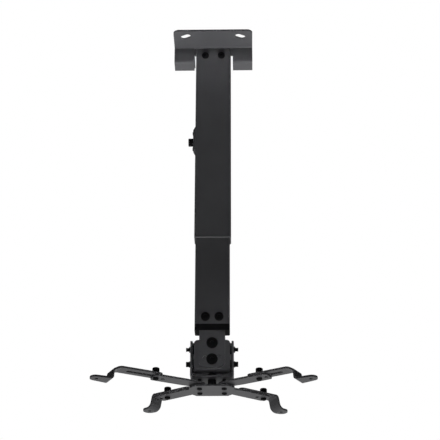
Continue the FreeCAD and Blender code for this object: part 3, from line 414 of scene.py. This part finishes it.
def hexagon_nut(flats, height, bore):
    """A nut with its corners turned off at both faces and a plain bore."""
    corners = flats / math.sqrt(3)
    clear_selection()
    bpy.ops.mesh.primitive_cylinder_add(vertices=6, radius=corners, depth=height,
                                        location=(0, 0, height / 2), rotation=(0, 0, math.radians(30)))
    piece = bpy.context.object
    turned = add_bar(ROUND, corners, height, height / 2)
    start_edit("FACE")
    select_faces(turned, lambda middle, normal: abs(normal.z) > END_FACING)
    bpy.ops.mesh.bevel(offset=NUT_CORNER * flats, segments=EDGE_SEGMENTS)
    end_edit()
    cut_with(piece, turned, "INTERSECT")
    cut_with(piece, add_bar(ROUND, bore / 2, THROUGH * height, height / 2))
    smooth(piece)
    return piece


def knurled_screw(head, height, shank, length):
    """A thumb screw: a knurled rim under a bevelled top, a driver slot and a plain shank."""
    strips = 2 * ROUND
    low_rim, high_rim = (share * height for share in KNURL_BAND)

    def every_other_strip(middle, normal):
        strip = int((math.atan2(middle.y, middle.x) + math.tau) / math.tau * strips)
        on_rim = low_rim < middle.z < high_rim and middle.xy.length > KNURL_REACH * head
        return on_rim and abs(normal.z) < SIDE_FACING and strip % 2 == 0

    piece = start_headed(strips, head, height, shank, length)
    select_top(piece)
    bpy.ops.mesh.bevel(offset=RIM_BEVEL, segments=EDGE_SEGMENTS)
    # every other strip of the rim sinks in, which leaves the ridges of the knurl
    select_faces(piece, every_other_strip)
    bpy.ops.mesh.inset(thickness=KNURL_LINE, use_individual=True)
    bpy.ops.mesh.extrude_region_shrink_fatten(TRANSFORM_OT_shrink_fatten={"value": -KNURL_DEPTH})
    end_edit()
    clear_selection()
    bpy.ops.mesh.primitive_cube_add(size=1, location=(0, 0, height))
    blade = bpy.context.object
    blade.scale = (DRIVER_SLOT_WIDTH, THROUGH * head, 2 * DRIVER_SLOT_DEPTH)
    bpy.ops.object.transform_apply(location=False, rotation=False, scale=True)
    cut_with(piece, blade)
    smooth(piece)
    return piece


def fasten(pattern, name, body, node, places):
    """Copies of a pattern at each place, given as a point and the way its top faces, joined to stand
    for a node."""
    copies = []
    for point, facing in places:
        copy = pattern.copy()
        copy.data = pattern.data.copy()
        bpy.context.scene.collection.objects.link(copy)
        turn = Vector(facing).to_track_quat("Z", "Y").to_matrix().to_4x4()
        settle(copy, Matrix.Translation(point) @ turn)
        copies.append(copy)
    bpy.data.objects.remove(pattern)
    pick(copies[0])
    if len(copies) > 1:
        for copy in copies:
            copy.select_set(True)
        bpy.ops.object.join()
    stand_for(copies[0], name, "black_hardware", body, node)


def make_tube_bolts():
    """The bolts and nuts through the top of the outer tube and the foot of the inner one."""
    top_sides, neck_sides = (-TOP_BOLT_SIDE, TOP_BOLT_SIDE), (-NECK_BOLT_SIDE, NECK_BOLT_SIDE)
    bolt = socket_bolt(head=10.2 * MM, height=3.2 * MM, shank=6 * MM, length=31 * MM, key=4 * MM,
                       crown=1.9 * MM)
    fasten(bolt, "top_bolts_domed", "ceiling_mount", "top_bolts",
           [((x, -TUBE_FACE, TOP_BOLT_Z), FRONT) for x in top_sides])
    nut = hexagon_nut(flats=10 * MM, height=5 * MM, bore=6.1 * MM)
    fasten(nut, "top_nuts_turned", "ceiling_mount", "top_nuts",
           [((x, TUBE_FACE, TOP_BOLT_Z), BACK) for x in top_sides])
    bolt = socket_bolt(head=12 * MM, height=4 * MM, shank=6 * MM, length=27.6 * MM, key=4 * MM,
                       crown=2.4 * MM)
    fasten(bolt, "neck_bolts_domed", "slider", "neck_bolts",
           [((x, -INNER_FACE, NECK_BOLT_Z), FRONT) for x in neck_sides])
    nut = hexagon_nut(flats=10 * MM, height=5 * MM, bore=6.1 * MM)
    fasten(nut, "neck_nuts_turned", "slider", "neck_nuts",
           [((x, INNER_FACE, NECK_BOLT_Z), BACK) for x in neck_sides])


def make_lock_screw():
    """The thumb screw in the left wall of the tube."""
    low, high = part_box("lock_screw")
    shank_length = 4.75 * MM
    seat = Vector((high.x - shank_length, 0, (low.z + high.z) / 2))
    screw = knurled_screw(head=11.4 * MM, height=6.6 * MM, shank=6 * MM, length=shank_length)
    fasten(screw, "lock_screw_knurled", "side_lock", "lock_screw", [(seat, LEFT)])


def make_head_bolts():
    """The roll's bolts at the front and back, and the tilt's bolts at the sides."""
    for node in ("roll_pivot_bolts", "roll_lock_bolts"):
        height = 4 * MM
        seat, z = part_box(node)[1].y - height, height_of(node)
        bolt = socket_bolt(head=15 * MM, height=height, shank=6 * MM, length=5.4 * MM, key=4 * MM,
                           crown=2.6 * MM)
        fasten(bolt, f"{node}_domed", "roll_head", node, [((0, -seat, z), FRONT), ((0, seat, z), BACK)])
    for node, end, key in (("tilt_pivot_bolts", 4.2 * MM, 0.0), ("tilt_lock_bolts", 6.4 * MM, 3 * MM)):
        height = 5.6 * MM
        seat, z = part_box(node)[1].x - height, height_of(node)
        bolt = flanged_bolt(flange=8.2 * MM, seat=1.6 * MM, end=end, height=height, shank=5 * MM,
                            length=7.2 * MM, key=key)
        fasten(bolt, f"{node}_flanged", "roll_head", node,
               [((-seat, 0, z), LEFT), ((seat, 0, z), RIGHT)])


def make_spider_bolts():
    """The swivel's nut, the pivots of the legs and the clamp bolts of the arms."""
    nut = hexagon_nut(flats=13 * MM, height=5.6 * MM, bore=8.1 * MM)
    fasten(nut, "swivel_nut_turned", "spider", "swivel_nut", [((0, 0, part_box("swivel_nut")[0].z), UP)])
    pivots = [JOINTS[f"leg_{name}_swing"]["pos_m"][:2] for name in LEG_NAMES]
    plate_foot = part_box("spider_plate")[0].z
    bolt = socket_bolt(head=6.8 * MM, height=1.6 * MM, shank=5 * MM, length=13 * MM, key=2.5 * MM,
                       crown=0.9 * MM)
    fasten(bolt, "leg_pivot_bolts_domed", "spider", "leg_pivot_bolts",
           [((x, y, plate_foot), DOWN) for x, y in pivots])
    nut_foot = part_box("leg_pivot_nuts")[0].z
    nut = hexagon_nut(flats=8 * MM, height=4.6 * MM, bore=5.1 * MM)
    fasten(nut, "leg_pivot_nuts_turned", "spider", "leg_pivot_nuts",
           [((x, y, nut_foot), UP) for x, y in pivots])
    for name in LEG_NAMES:
        node = f"clamp_bolt_{name}"
        low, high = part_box(node)
        middle, height = (low + high) / 2, 2.6 * MM
        bolt = socket_bolt(head=7.4 * MM, height=height, shank=5 * MM, length=13.5 * MM, key=3 * MM,
                           crown=1.4 * MM)
        fasten(bolt, f"{node}_domed", f"leg_{name}", node,
               [((middle.x, middle.y, low.z + height), DOWN)])


make_tube_bolts()
make_head_bolts()
make_lock_screw()
make_spider_bolts()


# Sheet pieces whose bends and edges are finer than the solids'

def stand_as_sheet(piece, name, body, node):
    """Smooth a sheet piece, keep the flat sheet beside a bend flat, and let the piece take the place
    of a node."""
    smooth(piece)
    flats = piece.modifiers.new("flats", "WEIGHTED_NORMAL")
    flats.weight = 100
    flats.keep_sharp = True
    bpy.ops.object.modifier_apply(modifier=flats.name)
    stand_for(piece, name, "powder_coat", body, node)


def block(low, high):
    """A plain block between two corners, given in millimetres, to cut or join with."""
    low, high = Vector(low) * MM, Vector(high) * MM
    clear_selection()
    bpy.ops.mesh.primitive_cube_add(size=1, location=(low + high) / 2)
    bpy.context.object.scale = high - low
    return bpy.context.object


def round_cutter(size, x, travel=0.0):
    """A tall round bar to cut a hole with, or a slot where it is drawn out along X."""
    clear_selection()
    bpy.ops.mesh.primitive_cylinder_add(vertices=ROUND, radius=size / 2, depth=BAR_LENGTH,
                                        location=(x, 0, 0))
    cutter = bpy.context.object
    bpy.ops.object.transform_apply(location=True)
    start_edit("EDGE")
    select_edges(cutter, lambda point: point.x > x + TINY)
    bpy.ops.transform.translate(value=(travel, 0, 0))
    end_edit()
    return cutter


def hook_arm(ramp, fall, drop_run, foot, heel_reach):
    """A slotted arm along X, its underside at height nought: flat, ramped, dropped through a tight bend
    and swept out through a wider one into a foot that narrows to a round tip."""
    knee = ramp - ARM_GAUGE
    ease = EASE_SHARE * knee
    heel = knee + drop_run
    tip = heel + foot + ARM_GAUGE
    clear_selection()
    bpy.ops.mesh.primitive_plane_add(size=1, location=(-ARM_LENGTH / 2, 0, 0))
    piece = bpy.context.object
    piece.scale = (ARM_LENGTH, ARM_WIDTH, 1)
    bpy.ops.object.transform_apply(location=True, rotation=True, scale=True)
    start_edit("EDGE")
    select_edges(piece, lambda point: point.x > -TINY)
    steps = ((ease, 0.0), (knee - ease, fall), (drop_run, HOOK_DROP - fall), (tip - heel, 0.0))
    for run, drop in steps:
        bpy.ops.mesh.extrude_region_move(TRANSFORM_OT_translate={"value": (run, 0, -drop)})
    bpy.ops.transform.resize(value=(1, FOOT_TAPER, 1))
    for bend, reach in ((ease, EASE_FILL * ease), (knee, KNEE_REACH), (heel, heel_reach)):
        select_edges(piece, lambda point: abs(point.x - bend) < TINY)
        bpy.ops.mesh.bevel(offset=reach, segments=BEND_SEGMENTS)
    bpy.ops.mesh.select_mode(type="VERT")
    for end, corner in ((tip, TIP_CORNER), (-ARM_LENGTH, TAIL_CORNER)):
        select_edges(piece, lambda point: abs(point.x - end) < TINY)
        bpy.ops.mesh.bevel(offset=corner, segments=BEND_SEGMENTS, affect="VERTICES")
    end_edit()
    wall = piece.modifiers.new("wall", "SOLIDIFY")
    wall.thickness = ARM_GAUGE
    wall.offset = 1.0
    wall.use_even_offset = True
    bpy.ops.object.modifier_apply(modifier=wall.name)
    cut_with(piece, round_cutter(ARM_SLOT_WIDTH, ARM_SLOT_START, ARM_SLOT_TRAVEL))
    cut_with(piece, round_cutter(FOOT_HOLE, tip - FOOT_HOLE_INSET))
    return piece, tip


def make_arms():
    """Each arm along the way that it slides, its tip, middle and top where its solid has them."""
    for name in LEG_NAMES:
        node = f"arm_{name}"
        pair = name.split("_")[0]
        piece, tip = hook_arm(**HOOKS[pair])
        along = Vector(JOINTS[f"{node}_slide"]["axis"])
        across = Vector(UP).cross(along)
        points = [point.co for point in NODES[node].data.vertices]
        farthest = max(point.dot(along) for point in points)
        sides = [point.dot(across) for point in points]
        origin = along * (farthest - tip) + across * (max(sides) + min(sides)) / 2
        origin.z = max(point.z for point in points) - ARM_GAUGE
        turn = Matrix((along, across, Vector(UP))).transposed().to_4x4()
        settle(piece, Matrix.Translation(origin) @ turn)
        stand_as_sheet(piece, f"{node}_swept", node, node)


def merged_copy(node):
    """A new piece with a node's own shape, its triangles joined at their corners."""
    piece = bpy.data.objects.new(f"{node}_copy", NODES[node].data.copy())
    bpy.context.scene.collection.objects.link(piece)
    pick(piece)
    bpy.ops.object.mode_set(mode="EDIT")
    bpy.ops.mesh.select_all(action="SELECT")
    bpy.ops.mesh.remove_doubles(threshold=TINY)
    end_edit()
    return piece


def make_tilt_yoke():
    """The box bracket of the tilt, its cheeks set back from the front, their tops sloped up to a higher
    back."""
    piece = merged_copy("tilt_yoke")
    low, high = (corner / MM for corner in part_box("tilt_yoke"))
    outer, rear, tilt = high.x, high.y, TILT_Z / MM
    inner, wall = outer - CHEEK_GAUGE, rear - CHEEK_GAUGE
    root, front_top, back_top = tilt + CHEEK_ROOT, tilt + CHEEK_FRONT_RISE, tilt + CHEEK_BACK_RISE
    for near, far in ((-outer, -inner), (inner, outer)):
        cut_with(piece, block((near, CHEEK_LAP - CHEEK_FRONT, root), (far, rear, back_top)), "UNION")
    cut_with(piece, block((-outer, wall, root), (outer, rear, back_top)), "UNION")
    reach = outer + PAST
    cut_with(piece, block((-reach, -rear - PAST, low.z - PAST), (reach, -CHEEK_FRONT, high.z + PAST)))
    slope = block((-reach, -CHEEK_FRONT, back_top), (reach, wall, back_top + PAST))
    bpy.ops.object.transform_apply(location=True, rotation=True, scale=True)
    start_edit("EDGE")
    select_edges(slope, lambda point: point.z < back_top * MM + TINY and point.y < 0)
    bpy.ops.transform.translate(value=(0, 0, (front_top - back_top) * MM))
    end_edit()
    cut_with(piece, slope)
    stand_as_sheet(piece, "tilt_yoke_trimmed", "tilt_head", "tilt_yoke")


def make_bracket():
    """The ceiling bracket: its strip widened to a lid with a lip at each side of the tube, its slots
    opened out."""
    piece = merged_copy("ceiling_bracket")
    lid_foot = LID_SKIN - LID_GAUGE
    cut_with(piece, block((-LID_SIDE, -LID_DEPTH, lid_foot), (LID_SIDE, LID_DEPTH, -LID_SKIN)), "UNION")
    for near, far in ((-LID_SIDE, -LIP_START), (LIP_START, LID_SIDE)):
        lip = block((near, -LID_DEPTH, -LIP_DROP), (far, LIP_GAUGE - LID_DEPTH, -2 * LID_SKIN))
        cut_with(piece, lip, "UNION")
    low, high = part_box("ceiling_bracket")
    for row, edge in ((-1, low.y), (1, high.y)):
        for side in (-1, 1):
            cutter = round_cutter(SLOT_WIDTH, -SLOT_TRAVEL / 2, SLOT_TRAVEL)
            middle = Vector((side * SLOT_SIDE, edge - row * SLOT_INSET, 0))
            turn = Matrix.Rotation(-row * side * SLOT_TURN, 4, "Z")
            cutter.matrix_world = Matrix.Translation(middle) @ turn
            cut_with(piece, cutter)
    stand_as_sheet(piece, "ceiling_bracket_lidded", "ceiling_mount", "ceiling_bracket")


make_arms()
make_tilt_yoke()
make_bracket()


# Stage: a pale floor far below, a white surround, soft lamps and two black cards out of the picture

def seen_rays(tree):
    """One for rays from the camera and for those that a gloss or a glass sends on, else nought."""
    ray = add(tree, "ShaderNodeLightPath").outputs
    seen = add(tree, "ShaderNodeMath", {"operation": "MAXIMUM"},
               i0=ray["Is Camera Ray"], i1=ray["Is Glossy Ray"])
    shown = add(tree, "ShaderNodeMath", {"operation": "MAXIMUM"},
                i0=seen.outputs[0], i1=ray["Is Transmission Ray"])
    return shown.outputs[0]


def make_floor():
    clear_selection()
    bpy.ops.mesh.primitive_plane_add(size=FLOOR_SIZE, location=(0, 0, FLOOR_Z))
    floor = bpy.context.object
    floor.name = "studio_floor"
    material, tree, shader = new_material("matt_white_studio_floor", Roughness=0.9,
                                          Base_Color=linear("#f2f2f2"))
    glow = add(tree, "ShaderNodeEmission", Color=linear("#ffffff"), Strength=1.0)
    share = add(tree, "ShaderNodeMath", {"operation": "MULTIPLY"}, i0=seen_rays(tree), i1=FLOOR_WHITE)
    mixed = add(tree, "ShaderNodeMixShader", Fac=share.outputs[0], i1=shader.outputs[0],
                i2=glow.outputs[0])
    tree.links.new(mixed.outputs[0], tree.nodes["Material Output"].inputs["Surface"])
    floor.data.materials.append(material)


def make_cards():
    """Black cards that show only in gloss: one in front keeps the white surround off the tube, and one
    high behind keeps it off the faces that look up."""
    material = new_material("black_flock_card", Roughness=1.0, Base_Color=linear("#0a0a0a"))[0]
    for name, (place, size, lean) in CARDS.items():
        clear_selection()
        bpy.ops.mesh.primitive_plane_add(size=1, location=place, rotation=(math.radians(lean), 0, 0))
        card = bpy.context.object
        card.name = name
        card.scale = size
        card.data.materials.append(material)
        card.visible_camera = False
        card.visible_diffuse = False
        card.visible_shadow = False


def make_lamps():
    for name, (place, aim, width, watts, beam) in LAMPS.items():
        lamp = bpy.data.lights.new(name, "AREA")
        lamp.shape = "DISK"
        lamp.size = width
        lamp.energy = watts
        lamp.spread = math.radians(beam)
        holder = bpy.data.objects.new(name, lamp)
        bpy.context.scene.collection.objects.link(holder)
        holder.location = place
        holder.rotation_euler = (Vector(aim) - Vector(place)).to_track_quat("-Z", "Y").to_euler()
        holder.visible_camera = False
        holder.visible_glossy = name == MIRRORED_LAMP


def make_surround():
    """White where the camera and reflections look, a low even light elsewhere."""
    world = bpy.data.worlds.new("white_studio")
    bpy.context.scene.world = world
    world.use_nodes = True
    tree = world.node_tree
    tree.nodes.clear()
    low = add(tree, "ShaderNodeBackground", Color=linear("#ffffff"), Strength=AMBIENT)
    white = add(tree, "ShaderNodeBackground", Color=linear("#ffffff"), Strength=1.0)
    mixed = add(tree, "ShaderNodeMixShader", Fac=seen_rays(tree), i1=low.outputs[0],
                i2=white.outputs[0])
    add(tree, "ShaderNodeOutputWorld", Surface=mixed.outputs[0])


make_floor()
make_cards()
make_lamps()
make_surround()


# Camera, at the photograph's place: below and in front, looking up

def make_camera():
    data = bpy.data.cameras.new("photo_camera")
    data.sensor_width = SENSOR_WIDTH
    data.lens = FOCAL_PIXELS / FRAME_PIXELS * SENSOR_WIDTH
    data.clip_end = FARTHEST_SEEN
    camera = bpy.data.objects.new("photo_camera", data)
    bpy.context.scene.collection.objects.link(camera)
    pitch, yaw, roll = (math.radians(turn) for turn in (CAMERA_PITCH, CAMERA_YAW, CAMERA_ROLL))
    heading = Matrix.Rotation(-yaw, 4, "Z")
    upward = Matrix.Rotation(math.pi / 2 + pitch, 4, "X")
    lean = Matrix.Rotation(roll, 4, "Z")
    camera.matrix_world = Matrix.Translation(CAMERA_PLACE) @ heading @ upward @ lean
    bpy.context.scene.camera = camera


make_camera()
bpy.context.scene.view_settings.view_transform = "Standard"
